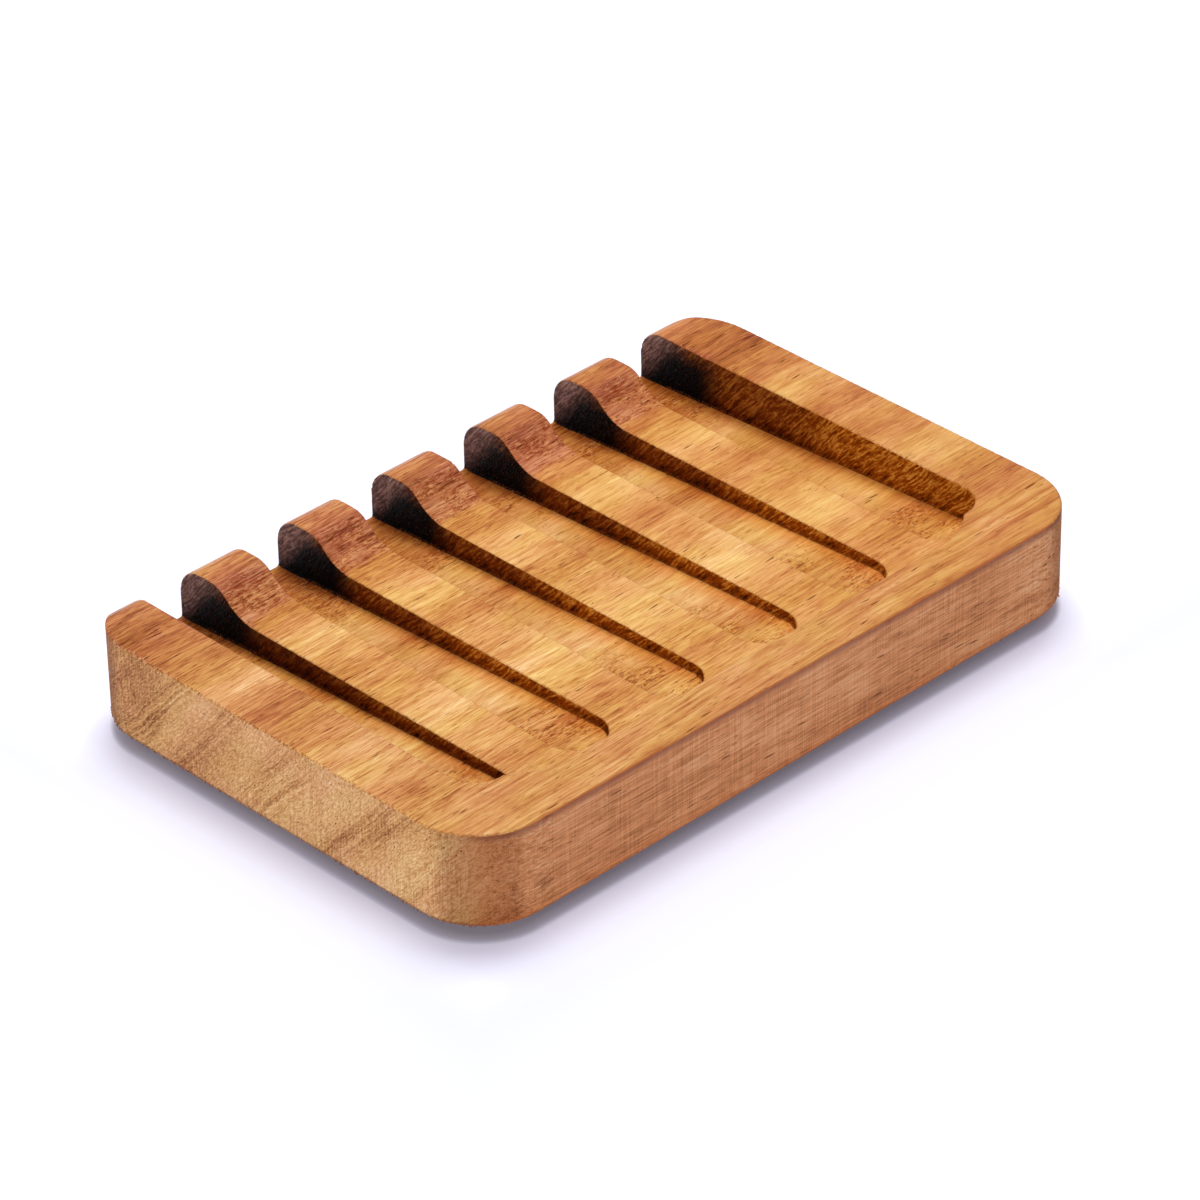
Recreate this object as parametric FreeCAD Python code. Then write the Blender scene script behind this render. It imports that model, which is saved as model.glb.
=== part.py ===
import FreeCAD, Part
import math
import os

# A self-draining soap dish milled from one plank of hardwood, on four rubber feet.
# All sizes in millimetres.  +X runs along the length, +Y towards the open drain edge, +Z up.
# The origin is on the floor, under the middle of the dish.

# plank
dish_length = 130.0            # end to end
dish_width = 87.0              # front edge to drain edge
plank_thickness = 16.0
plan_corner_radius = 12.0      # the four upright corners
back_round_radius = 5.0        # top of the drain edge, over the whole length
top_edge_easing = 0.4          # sanded top edges
bottom_edge_easing = 0.6       # sanded bottom edges

# drain slots, cut from the bed out through the drain edge
slot_count = 6
slot_width = 10.0
side_rail_width = 11.0         # solid wood outside the first and the last slot
slot_end_margin = 11.8         # front edge to the round front ends of the slots
slot_front_depth = 1.4         # below the bed, where a slot begins
slot_back_depth = 5.2          # below the bed, at the drain edge

# bed, the sunk area that carries the soap
bed_depth = 4.2
front_rail_width = 8.2         # front edge to the bed
bed_side_setback = 1.0         # from the side rails' inner faces to the bed's ends
bed_corner_radius = 14.0

# lip that rises from the bed to the drain edge in an S-curve
lip_crest_width = 1.9          # flat top between the S-curve and the rounded drain edge
lip_upper_radius = 5.0
lip_lower_radius = 9.0

# feet
foot_diameter = 10.0
foot_height = 2.7              # gap under the plank
foot_side_inset = 15.0         # from the ends of the dish to a foot's centre
foot_edge_inset = 14.0         # from the front and the drain edge to a foot's centre
foot_taper = 0.6               # how much smaller its radius is at the tread
foot_bevel = 0.6               # round the edge of the tread

cut_overrun = 5.0              # how far cutters reach past the wood
tiny = 1e-6                    # tolerance when picking edges by their place

# sizes that follow from the ones above
half_length = dish_length / 2
half_width = dish_width / 2
plank_bottom = foot_height
plank_top = plank_bottom + plank_thickness
bed_level = plank_top - bed_depth
slots_span = dish_length - 2 * side_rail_width
rib_width = (slots_span - slot_count * slot_width) / (slot_count - 1)
slot_pitch = slot_width + rib_width
first_slot_centre = -half_length + side_rail_width + slot_width / 2
slot_radius = slot_width / 2
bed_front = -half_width + front_rail_width
bed_half_length = half_length - side_rail_width - bed_side_setback


def point(x, y, z):
    return FreeCAD.Vector(x, y, z)


def line(start, end):
    return Part.LineSegment(start, end).toShape()


def arc(start, middle, end):
    return Part.Arc(start, middle, end).toShape()


def outline(corners):
    """Straight edges round a list of corners, back to the first one."""
    return [line(corners[index - 1], corner) for index, corner in enumerate(corners)]


def closed_face(edges):
    return Part.Face(Part.Wire(edges))


def rounded_plan(half_x, y_front, y_back, radius, z):
    """Rectangle with four round corners, lying flat at height z."""
    corners = (
        (half_x - radius, y_back - radius, 0),
        (-half_x + radius, y_back - radius, 90),
        (-half_x + radius, y_front + radius, 180),
        (half_x - radius, y_front + radius, 270),
    )
    edges = []
    previous_end = None
    first_start = None
    for centre_x, centre_y, start_angle in corners:
        ends = []
        for angle in (start_angle, start_angle + 45, start_angle + 90):
            turn = math.radians(angle)
            ends.append(point(centre_x + radius * math.cos(turn), centre_y + radius * math.sin(turn), z))
        if previous_end is not None:
            edges.append(line(previous_end, ends[0]))
        else:
            first_start = ends[0]
        edges.append(arc(*ends))
        previous_end = ends[2]
    edges.append(line(previous_end, first_start))
    return closed_face(edges)


def across_length(edges, half_x):
    """Side-view profile at x = 0, drawn out to the same length on both sides."""
    face = closed_face(edges)
    face.translate(point(-half_x, 0, 0))
    return face.extrude(point(2 * half_x, 0, 0))


def plank_blank():
    plan = rounded_plan(half_length, -half_width, half_width, plan_corner_radius, plank_bottom)
    return plan.extrude(point(0, 0, plank_thickness))


def drain_edge_cutter():
    """What is taken off the drain edge to leave a quarter round along its top."""
    round_start = point(0, half_width - back_round_radius, plank_top)
    round_end = point(0, half_width, plank_top - back_round_radius)
    bend = back_round_radius * (1 - math.cos(math.radians(45)))
    round_middle = point(0, half_width - bend, plank_top - bend)
    outside_y = half_width + cut_overrun
    above_z = plank_top + cut_overrun
    edges = [
        arc(round_start, round_middle, round_end),
        line(round_end, point(0, outside_y, round_end.z)),
        line(point(0, outside_y, round_end.z), point(0, outside_y, above_z)),
        line(point(0, outside_y, above_z), point(0, round_start.y, above_z)),
        line(point(0, round_start.y, above_z), round_start),
    ]
    return across_length(edges, half_length + cut_overrun)


def lip_curve():
    """S-curve from the bed up to the lip: one hollow arc and one crowned arc, tangent to each other."""
    radii = lip_lower_radius + lip_upper_radius
    ramp = math.acos(1 - bed_depth / radii)
    crest_y = half_width - back_round_radius - lip_crest_width
    foot_y = crest_y - radii * math.sin(ramp)
    lower_middle = point(
        0,
        foot_y + lip_lower_radius * math.sin(ramp / 2),
        bed_level + lip_lower_radius * (1 - math.cos(ramp / 2)),
    )
    joint = point(
        0,
        foot_y + lip_lower_radius * math.sin(ramp),
        bed_level + lip_lower_radius * (1 - math.cos(ramp)),
    )
    upper_middle = point(
        0,
        crest_y - lip_upper_radius * math.sin(ramp / 2),
        plank_top - lip_upper_radius * (1 - math.cos(ramp / 2)),
    )
    foot = point(0, foot_y, bed_level)
    crest = point(0, crest_y, plank_top)
    return foot, crest, [arc(foot, lower_middle, joint), arc(joint, upper_middle, crest)]


def bed_cutter():
    """Sunk bed: flat from its front wall to the foot of the lip, round at its two front corners."""
    foot, crest, curve = lip_curve()
    above_z = plank_top + cut_overrun
    front_low = point(0, bed_front, bed_level)
    front_high = point(0, bed_front, above_z)
    back_high = point(0, crest.y, above_z)
    edges = [line(front_low, foot)]
    edges.extend(curve)
    edges.append(line(crest, back_high))
    edges.append(line(back_high, front_high))
    edges.append(line(front_high, front_low))
    side_view = across_length(edges, bed_half_length)
    plan = rounded_plan(bed_half_length, bed_front, crest.y + bed_corner_radius, bed_corner_radius, bed_level)
    return side_view.common(plan.extrude(point(0, 0, bed_depth + cut_overrun)))


def slot_cutter(centre_x):
    """One drain slot: round front end, floor that falls towards the drain edge."""
    end_y = -half_width + slot_end_margin
    centre_y = end_y + slot_radius
    outside_y = half_width + cut_overrun
    above_z = plank_top + cut_overrun
    fall = (slot_back_depth - slot_front_depth) / (half_width - end_y)
    front_floor = bed_level - slot_front_depth
    outside_floor = front_floor - fall * (outside_y - end_y)

    left_x = centre_x - slot_radius
    right_x = centre_x + slot_radius
    plan_edges = [
        line(point(right_x, outside_y, 0), point(left_x, outside_y, 0)),
        line(point(left_x, outside_y, 0), point(left_x, centre_y, 0)),
        arc(point(left_x, centre_y, 0), point(centre_x, end_y, 0), point(right_x, centre_y, 0)),
        line(point(right_x, centre_y, 0), point(right_x, outside_y, 0)),
    ]
    upright = closed_face(plan_edges).extrude(point(0, 0, above_z))

    side_corners = [
        point(0, end_y - cut_overrun, above_z),
        point(0, end_y - cut_overrun, front_floor + fall * cut_overrun),
        point(0, outside_y, outside_floor),
        point(0, outside_y, above_z),
    ]
    wedge = across_length(outline(side_corners), half_length + cut_overrun)
    return upright.common(wedge)


def starts_back_round(box):
    """True for the tangent line where the top runs into the drain edge's round."""
    return box.YLength < tiny and abs(box.YMin - (half_width - back_round_radius)) < tiny


def eased(solid):
    """Sands the outline of the plank: a small round on its top edges and on its bottom edges."""
    top_edges = []
    for edge in solid.Edges:
        box = edge.BoundBox
        if box.ZMin > plank_top - tiny and not starts_back_round(box):
            top_edges.append(edge)
    solid = solid.makeFillet(top_edge_easing, top_edges)
    bottom_edges = [edge for edge in solid.Edges if edge.BoundBox.ZMax < plank_bottom + tiny]
    return solid.makeFillet(bottom_edge_easing, bottom_edges)


def wooden_dish():
    dish = eased(plank_blank().cut(drain_edge_cutter()))
    dish = dish.cut(bed_cutter())
    for index in range(slot_count):
        dish = dish.cut(slot_cutter(first_slot_centre + index * slot_pitch))
    return dish


def rubber_foot(centre_x, centre_y):
    """Low bumper stuck under the plank: widest at the wood, with a bevelled tread."""
    top_radius = foot_diameter / 2
    tread_radius = top_radius - foot_taper
    corners = [
        point(0, 0, foot_height),
        point(top_radius, 0, foot_height),
        point(tread_radius, 0, foot_bevel),
        point(tread_radius - foot_bevel, 0, 0),
        point(0, 0, 0),
    ]
    foot = closed_face(outline(corners)).revolve(point(0, 0, 0), point(0, 0, 1), 360)
    foot.translate(point(centre_x, centre_y, 0))
    return foot


def feet():
    foot_x = half_length - foot_side_inset
    foot_y = half_width - foot_edge_inset
    places = {
        "foot_front_left": (-foot_x, -foot_y),
        "foot_front_right": (foot_x, -foot_y),
        "foot_back_left": (-foot_x, foot_y),
        "foot_back_right": (foot_x, foot_y),
    }
    return {name: rubber_foot(*place) for name, place in places.items()}


def build():
    pieces = {"wooden_dish": wooden_dish()}
    pieces.update(feet())
    os.makedirs("parts", exist_ok=True)
    for name, solid in pieces.items():
        box = solid.BoundBox
        print(name, "valid" if solid.isValid() else "INVALID", "solids", len(solid.Solids),
              "volume", round(solid.Volume, 1),
              "size", round(box.XLength, 2), round(box.YLength, 2), round(box.ZLength, 2))
        solid.exportStep(os.path.join("parts", name + ".step"))


build()
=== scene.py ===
import bpy
import bmesh
import math
from mathutils import Matrix, Vector


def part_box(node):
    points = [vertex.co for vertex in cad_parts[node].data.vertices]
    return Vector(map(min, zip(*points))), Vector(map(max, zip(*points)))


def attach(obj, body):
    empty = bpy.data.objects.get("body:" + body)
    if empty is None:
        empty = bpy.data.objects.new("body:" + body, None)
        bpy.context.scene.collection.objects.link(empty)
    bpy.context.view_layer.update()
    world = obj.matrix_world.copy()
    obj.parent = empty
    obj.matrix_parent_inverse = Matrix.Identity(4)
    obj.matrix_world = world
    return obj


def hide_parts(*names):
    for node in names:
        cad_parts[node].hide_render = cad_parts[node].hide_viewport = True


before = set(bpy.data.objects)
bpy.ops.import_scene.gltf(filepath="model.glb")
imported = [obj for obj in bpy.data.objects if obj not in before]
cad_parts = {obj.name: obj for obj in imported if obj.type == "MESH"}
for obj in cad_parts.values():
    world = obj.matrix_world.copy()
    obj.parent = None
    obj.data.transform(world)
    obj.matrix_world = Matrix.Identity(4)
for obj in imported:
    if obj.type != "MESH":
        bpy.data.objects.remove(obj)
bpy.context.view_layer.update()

mm = 0.001
dishLow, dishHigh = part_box("wooden_dish")
footNames = ["foot_front_left", "foot_front_right", "foot_back_left", "foot_back_right"]
bench = bpy.context.scene.collection


def srgb(red, green, blue):  # 0-255 as picked on screen, to the linear value that a socket takes
    def linear(value):
        value /= 255
        return value / 12.92 if value <= 0.04045 else ((value + 0.055) / 1.055) ** 2.4
    return linear(red), linear(green), linear(blue), 1.0


# helpers for node trees, in materials and in geometry nodes alike

def node(tree, kind, **settings):
    made = tree.nodes.new(kind)
    for name, value in settings.items():
        setattr(made, name, value)
    return made


def feed(tree, socket, value):  # a value is either another node's output or a plain number, vector or colour
    if isinstance(value, bpy.types.NodeSocket):
        tree.links.new(value, socket)
    elif value is not None:
        socket.default_value = value


def calc(tree, operation, first, second=None, third=None):
    made = node(tree, "ShaderNodeMath", operation=operation)
    for socket, value in zip(made.inputs, (first, second, third)):
        feed(tree, socket, value)
    return made.outputs[0]


def vector(tree, operation, first, second=None, scale=None):
    made = node(tree, "ShaderNodeVectorMath", operation=operation)
    feed(tree, made.inputs[0], first)
    feed(tree, made.inputs[1], second)
    feed(tree, made.inputs[3], scale)
    return made.outputs[1 if operation in ("DOT_PRODUCT", "LENGTH") else 0]


def ramp(tree, value, low, high, start=0.0, end=1.0):  # smooth step from start to end while value goes low to high
    made = node(tree, "ShaderNodeMapRange", interpolation_type="SMOOTHSTEP")
    for name, given in (("Value", value), ("From Min", low), ("From Max", high), ("To Min", start), ("To Max", end)):
        feed(tree, made.inputs[name], given)
    return made.outputs["Result"]


def noise(tree, where, stretch, detail=2.0, rough=0.5, twist=0.0):
    made = node(tree, "ShaderNodeTexNoise")
    feed(tree, made.inputs["Vector"], vector(tree, "MULTIPLY", where, stretch))
    for name, given in (("Scale", 1.0), ("Detail", detail), ("Roughness", rough), ("Distortion", twist)):
        feed(tree, made.inputs[name], given)
    return made.outputs["Fac"]


def spread(tree, value, amount):  # noise around 0.5 becomes plus or minus amount
    return calc(tree, "MULTIPLY", calc(tree, "SUBTRACT", value, 0.5), 2 * amount)


def crisp(tree, value, low=0.36, high=0.64, amount=1.0):  # noise pushed apart, plus or minus amount
    return ramp(tree, value, low, high, -amount, amount)


def total(tree, *values):
    result = values[0]
    for value in values[1:]:
        result = calc(tree, "ADD", result, value)
    return result


def product(tree, *values):
    result = values[0]
    for value in values[1:]:
        result = calc(tree, "MULTIPLY", result, value)
    return result


def mixColour(tree, amount, under, over, blend="MIX"):
    made = node(tree, "ShaderNodeMix", data_type="RGBA", blend_type=blend)
    feed(tree, made.inputs["Factor"], amount)
    feed(tree, made.inputs["A"], under)
    feed(tree, made.inputs["B"], over)
    return made.outputs["Result"]


def tinted(tree, amount, colour, tint):
    return mixColour(tree, amount, colour, mixColour(tree, 1.0, colour, tint, "MULTIPLY"))


def separate(tree, value):
    made = node(tree, "ShaderNodeSeparateXYZ")
    feed(tree, made.inputs[0], value)
    return made.outputs


def combine(tree, *values):
    made = node(tree, "ShaderNodeCombineXYZ")
    for socket, value in zip(made.inputs, values):
        feed(tree, socket, value)
    return made.outputs[0]


def toneRamp(tree, value, stops):
    made = node(tree, "ShaderNodeValToRGB")
    elements = made.color_ramp.elements
    for index, (position, tone) in enumerate(stops):
        stop = elements[index] if index < 2 else elements.new(position)
        stop.position = position
        stop.color = tone
    feed(tree, made.inputs[0], value)
    return made.outputs["Color"]


def surface(tree, kind, **inputs):  # a shader node with these inputs
    made = node(tree, kind)
    for name, value in inputs.items():
        feed(tree, made.inputs[name], value)
    return made.outputs[0]


def mixShaders(tree, amount, under, over):
    made = node(tree, "ShaderNodeMixShader")
    for socket, value in zip(made.inputs, (amount, under, over)):
        feed(tree, socket, value)
    return made.outputs[0]


def show(tree, shader, kind="ShaderNodeOutputMaterial"):
    feed(tree, node(tree, kind).inputs["Surface"], shader)


def heightBump(tree, height):  # the height is in millimetres
    made = node(tree, "ShaderNodeBump")
    made.inputs["Distance"].default_value = mm
    made.inputs["Strength"].default_value = 1.0
    feed(tree, made.inputs["Height"], height)
    return made.outputs["Normal"]


def objectPlace(tree):  # in millimetres
    made = node(tree, "ShaderNodeMapping")
    made.inputs["Scale"].default_value = (1 / mm, 1 / mm, 1 / mm)
    feed(tree, made.inputs["Vector"], node(tree, "ShaderNodeTexCoord").outputs["Object"])
    return made.outputs["Vector"]


def newGeometryTree(name, **inputs):
    tree = bpy.data.node_groups.new(name, "GeometryNodeTree")
    tree.interface.new_socket("Geometry", in_out="INPUT", socket_type="NodeSocketGeometry")
    for label, kind in inputs.items():
        tree.interface.new_socket(label, in_out="INPUT", socket_type="NodeSocket" + kind)
    tree.interface.new_socket("Geometry", in_out="OUTPUT", socket_type="NodeSocketGeometry")
    place = vector(tree, "SCALE", node(tree, "GeometryNodeInputPosition").outputs[0], scale=1 / mm)
    normal = node(tree, "GeometryNodeInputNormal").outputs[0]
    return tree, node(tree, "NodeGroupInput").outputs, place, normal


def newMaterial(name):
    material = bpy.data.materials.new(name)
    material.use_nodes = True
    tree = material.node_tree
    tree.nodes.clear()
    return material, tree


# the wood: one solid block of grain, in millimetres, that both the colour and the carving read

wood = {
    "ringTilt": math.radians(42.5),  # how far the growth rings lean from the y axis towards z
    "plainTone": 0.58,  # how light the wood is between the growth bands
    # growth bands: the middle and half width across the rings, and how much lighter or darker they are
    "bands": [(-8.0, 4.0, -0.09), (2.4, 6.5, 0.19), (9.8, 3.2, -0.04), (15.6, 3.2, -0.16), (22.5, 4.4, 0.17),
              (36.0, 16.0, -0.24)],
    "tones": [(0.0, srgb(116, 52, 20)), (0.28, srgb(183, 109, 58)), (0.52, srgb(212, 150, 84)),
              (0.78, srgb(235, 185, 119)), (1.0, srgb(250, 216, 155))],
    "railShade": -0.08,  # the rails are a little darker than the bed, and greyer
    "railTint": (0.99, 1.02, 1.17, 1),
    "lipSheenTint": (1.0, 1.0, 1.72, 1),  # painted sheen: the S-curve is greyer
    "crestSheenTint": (1.07, 1.09, 1.3, 1),  # and so are the tops of the ribs behind it, paler with painted sheen
    "tornTint": (1.0, 0.93, 0.8, 1),
    "pinkTint": (1.0, 0.95, 1.0, 1),  # the hue wanders between these two
    "oliveTint": (0.99, 1.03, 0.86, 1),
    "hueShare": 0.8,
    "goldenTint": (0.95, 0.86, 0.74, 1),  # towards the right
    "goldenShare": 0.7,
    "endPinkTint": (1.0, 0.94, 0.96, 1),
    "endOliveTint": (1.0, 1.0, 0.93, 1),
    "sideFootTint": (0.92, 0.8, 0.7, 1),
    "shadeTint": (0.9, 0.66, 0.42, 1),  # painted shade on the slot floors along the foot of the walls and under the lip
    "lean": 0.018,  # how much the fibres cross the growth bands
    "poreTone": srgb(118, 50, 12),
    "finePoreTone": srgb(142, 74, 28),
    "sidePoreTone": srgb(124, 66, 46),
    "tornTone": srgb(138, 54, 12),
    "fleckTone": srgb(246, 198, 134),
    "endTones": [(0.0, srgb(128, 72, 44)), (0.5, srgb(215, 162, 109)), (1.0, srgb(255, 224, 176))],
    "sideTones": [(0.0, srgb(134, 72, 44)), (0.5, srgb(225, 154, 105)), (1.0, srgb(252, 208, 168))],
    "sideTopTone": srgb(144, 84, 74),  # purplish brown under the front top edge
    "frontEdgeTone": srgb(168, 84, 48),
    "cornerTint": (0.63, 0.55, 0.49, 1),  # the round corners took up more oil
    "rimSheenTone": srgb(206, 184, 178),  # painted reflection, pale along the top of the back edge
    "wallTones": [(0.0, srgb(44, 8, 0)), (0.5, srgb(152, 64, 2)), (1.0, srgb(228, 144, 56))],
    # painted reflection of the white floor behind: the walls turn grey towards the drain edge
    "wallSheenTones": [(0.0, srgb(50, 31, 27)), (0.5, srgb(114, 79, 71)), (1.0, srgb(182, 141, 128))],
    # painted shade: the walls darken from the front backwards as the slots deepen; the leftmost wall is darker still
    "wallFrontTint": (1.06, 1.34, 1.3, 1),
    "wallMidTint": (0.58, 0.58, 0.58, 1),
    "wallLeftTint": (0.72, 0.72, 0.72, 1),
    "burrTone": srgb(196, 108, 56),  # fibres along the lower edge
    "endBurrTone": srgb(132, 70, 50),  # and where that edge crosses the end grain
    # how far the fibres wander sideways, in millimetres, and how quickly they do so along x, y and z
    "wander": [(1.3, (0.016, 0.04, 0.04)), (0.34, (0.12, 0.28, 0.28))],
    "ior": 1.42,
    "specular": 0.05,
    # noise layers: how many waves go to a millimetre along x, y and z, then detail, roughness and twist
    "layers": {
        "poreCrowds": ((0.05, 0.16, 0.16), 2.0), "patches": ((0.12, 0.22, 0.22), 2.0),
        "lipPatches": ((0.2, 0.3, 0.3), 2.0), "ragged": ((0.08, 0.6, 0.35), 3.0, 0.6),
        "lines": ((0.015, 1.2, 0.35), 3.0, 0.65), "streaks": ((0.07, 1.4, 1.0), 3.0, 0.65),
        "fibres": ((0.16, 3.6, 2.8), 2.0, 0.75), "strokes": ((0.13, 2.1, 1.8), 2.0, 0.6),
        "dashes": ((0.5, 2.7, 2.7), 2.0, 0.65), "broad": ((0.03, 0.2, 0.12), 2.0),
        "mottle": ((0.14, 0.2, 0.3), 3.0), "hue": ((0.07, 0.12, 0.2), 2.0), "crowded": ((0.04, 0.3, 0.3), 2.0),
        "pits": ((0.85, 2.5, 2.5), 2.0, 0.65), "tears": ((0.95, 2.4, 2.4), 2.0, 0.6),
        "pebbles": ((1.0, 4.2, 1.15), 2.0, 0.65), "hatch": ((0.02, 1.5, 0.09), 1.0, 0.5),
        "leather": ((0.5, 1.4, 0.45), 3.0, 0.6, 0.4), "carvedLeather": ((0.5, 1.6, 0.8), 2.0, 0.6),
        "ringLines": ((0.01, 1.9, 0.05), 2.0, 0.7), "ringGroups": ((0.01, 0.15, 0.03), 1.0),
        "endPatches": ((0.02, 0.1, 0.06), 2.0), "endHue": ((0.03, 0.13, 0.05), 1.0),
        "scratch": ((3.0, 4.2, 0.12), 2.0, 0.75), "scratchGroups": ((0.1, 0.08, 0.05), 1.0),
        "sawLines": ((6.0, 0.4, 0.08), 1.0, 0.5), "sawGroups": ((0.16, 0.1, 0.05), 2.0),
        "sideFibres": ((0.13, 3.2, 3.2), 3.0, 0.8, 0.3), "wallFibres": ((0.7, 2.7, 0.5), 2.0, 0.65),
        "wallPebbles": ((1.0, 2.3, 1.4), 2.0, 0.6), "lowEdge": ((1.2, 1.2, 0.5), 3.0, 0.7),
        "teeth": ((2.3, 2.3, 0.8), 2.0, 0.6),
    },
    # pores: length and width of a cell in millimetres, the share of cells with a pore, and its size there
    "pores": {
        "large": (7.5, 0.6, 0.85, 0.23),
        "fine": (3.4, 0.36, 0.6, 0.24),
        "knots": (9.0, 3.2, 0.3, 0.22),
    },
    # how much lighter or darker each layer makes the wood, face by face
    "amounts": {
        "top": {"lines": 0.12, "railLines": 0.3, "streaks": 0.24, "fibres": 0.108, "dashes": -0.14,
                "darkStrokes": -0.13, "paleStrokes": 0.06, "broad": 0.12, "mottle": 0.18, "onRail": -0.35,
                "left": 1.15, "right": 0.75},
        "end": {"plain": 0.37, "bands": 0.3, "ringLines": 0.13, "ringGroups": -0.08, "hatch": -0.12,
                "pebbles": 0.16, "leather": 0.2, "scratch": 0.12, "patches": 0.26, "front": 0.03, "back": -0.08},
        "side": {"plain": 0.48, "sawLines": 0.075, "fibres": 0.16, "streaks": 0.2, "broad": 0.36,
                 "dashes": -0.08, "pebbles": 0.1, "right": 0.1, "knots": -0.16},
        # on the walls, frontFoot and backFoot darken the foot and high and top lighten the upper part: painted shade
        "wall": {"plain": 0.47, "fibres": 0.19, "pebbles": 0.07, "leather": 0.12, "lines": 0.4,
                 "ringLines": 0.12, "frontFoot": -0.14, "backFoot": -0.24, "high": 0.04, "top": 0.08},
    },
    # how high or deep each layer is, in millimetres
    "heights": {"fibres": 0.008, "pores": -0.12, "finePores": -0.04, "dashes": -0.015, "leather": 0.14,
                "pebbles": 0.02, "wallPebbles": 0.03, "scratch": 0.008, "sawLines": 0.01, "torn": -0.06,
                "pits": -0.04},
    "roughness": {"plain": 0.42, "fibres": 0.04, "leathery": 0.14, "side": 0.14, "pores": 0.25, "torn": 0.1},
    "slots": {"count": 6, "pitch": 19.6, "floor": 11.5, "fall": -0.0505},  # millimetres; the floors fall to the back
    # where each kind of surface or shade starts and where it is complete
    "limits": {
        # slopes, as the part of the normal that faces that way
        "upright": (0.3, 0.62), "footSlope": (0.8, 0.97), "endSlope": (0.6, 0.8), "face": (0.45, 0.9),
        "cornerAcross": (0.05, 0.45), "cornerAlong": (0.1, 0.47), "lipSlope": (0.999, 0.97), "lipUp": (0.5, 0.62),
        "floorSlope": (0.7, 0.9), "edgeFrom": (0.2, 0.4), "edgeTo": (0.86, 0.98), "rimSlope": (0.42, 0.6),
        "burrSlope": (-0.98, -0.9), "tornSlope": (0.8, 0.86), "fuzzSlope": (0.97, 0.9), "fuzzAcross": (0.2, 0.45),
        # x, in millimetres from the middle of the dish
        "insideEnds": (55.5, 57.0), "leathery": (49.2, 50.2), "endEdge": (64.2, 64.6), "endFibres": (58.0, 63.0),
        "leftToRight": (-40.0, 60.0), "golden": (0.0, 60.0), "sideRight": (20.0, 60.0), "leftMost": (-30.0, -45.0),
        "slotRight": (0.8, 4.9),
        # y
        "insideSides": (42.2, 43.2), "lipFront": (26.0, 28.5), "lipBack": (33.0, 37.0), "drainRound": (36.5, 38.0),
        "slotFront": (-31.5, -29.5), "slotFrontPast": (-20.0, -8.0), "slotBack": (19.0, 27.0),
        "slotBackPast": (40.5, 35.0), "frontRail": (-31.0, -34.0), "underLip": (18.0, 34.0), "crest": (33.0, 36.5),
        "endBack": (2.0, 26.0), "wallMiddle": (0.0, 9.0), "wallFront": (-2.0, 13.0), "wallBack": (32.0, 38.0),
        "wallLight": (35.5, 43.5), "wallBlack": (23.0, 31.0), "frontEdge": (-42.8, -43.2), "rimSheen": (39.7, 41.6),
        # z, in millimetres from the floor
        "lipFoot": (14.1, 14.4), "slotTop": (13.6, 14.2), "slotBottom": (8.0, 9.0), "railTop": (16.5, 18.4),
        "railTint": (16.8, 18.4), "crestHeight": (15.5, 16.5), "sideTop": (17.0, 18.3), "sideFoot": (6.0, 3.0),
        "wallTop": (12.5, 14.5), "burr": (3.0, 3.6), "rimHeight": (13.0, 14.0), "lowFibres": (4.0, 6.0),
        "fuzzTop": (3.2, 3.4), "fuzzBottom": (2.66, 2.74),
        # height above the slot's floor
        "foot": (0.6, 0.9), "wallFoot": (0.0, 2.4), "black": (5.0, 10.4),
        # noise
        "poreCrowds": (0.42, 0.66), "patches": (0.42, 0.58), "lipPatches": (0.3, 0.5), "dashes": (0.56, 0.68),
        "darkStrokes": (0.58, 0.64), "paleStrokes": (0.42, 0.34), "hue": (0.38, 0.62), "hatch": (0.54, 0.66),
        "ringGroups": (0.42, 0.6), "scratchGroups": (0.4, 0.6), "endHue": (0.4, 0.6), "sawGroups": (0.35, 0.62),
        "crowded": (0.8, 0.45), "pits": (0.55, 0.6), "flecks": (0.42, 0.34), "teeth": (0.42, 0.58),
        "tears": (0.5, 0.68), "endTears": (0.5, 0.65), "carvedLeather": (0.45, 0.75),
    },
}


def layer(tree, where, name):
    return noise(tree, where, *wood["layers"][name])


def fade(tree, value, name, start=0.0, end=1.0):  # from start to end between the limits of that name
    return ramp(tree, value, *wood["limits"][name], start, end)


def mask(tree, where, name, start=0.0, end=1.0):
    return fade(tree, layer(tree, where, name), name, start, end)


def grainCoordinates(tree, place):
    # x stays along the fibres, y becomes the distance across the growth rings, z lies along them
    turned = node(tree, "ShaderNodeVectorRotate", rotation_type="X_AXIS")
    feed(tree, turned.inputs["Vector"], place)
    feed(tree, turned.inputs["Angle"], -wood["ringTilt"])
    rings = turned.outputs["Vector"]
    for reach, stretch in wood["wander"]:
        wave = node(tree, "ShaderNodeTexNoise")
        feed(tree, wave.inputs["Vector"], vector(tree, "MULTIPLY", place, stretch))
        feed(tree, wave.inputs["Scale"], 1.0)
        feed(tree, wave.inputs["Detail"], 1.0)
        centred = vector(tree, "SUBTRACT", wave.outputs["Color"], (0.5, 0.5, 0.5))
        rings = vector(tree, "ADD", rings, vector(tree, "MULTIPLY", centred, (0.0, 2 * reach, 2 * reach)))
    slide = vector(tree, "SCALE", (0.0, -wood["lean"], wood["lean"]), scale=separate(tree, place)[0])
    return rings, vector(tree, "ADD", rings, slide)


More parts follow.
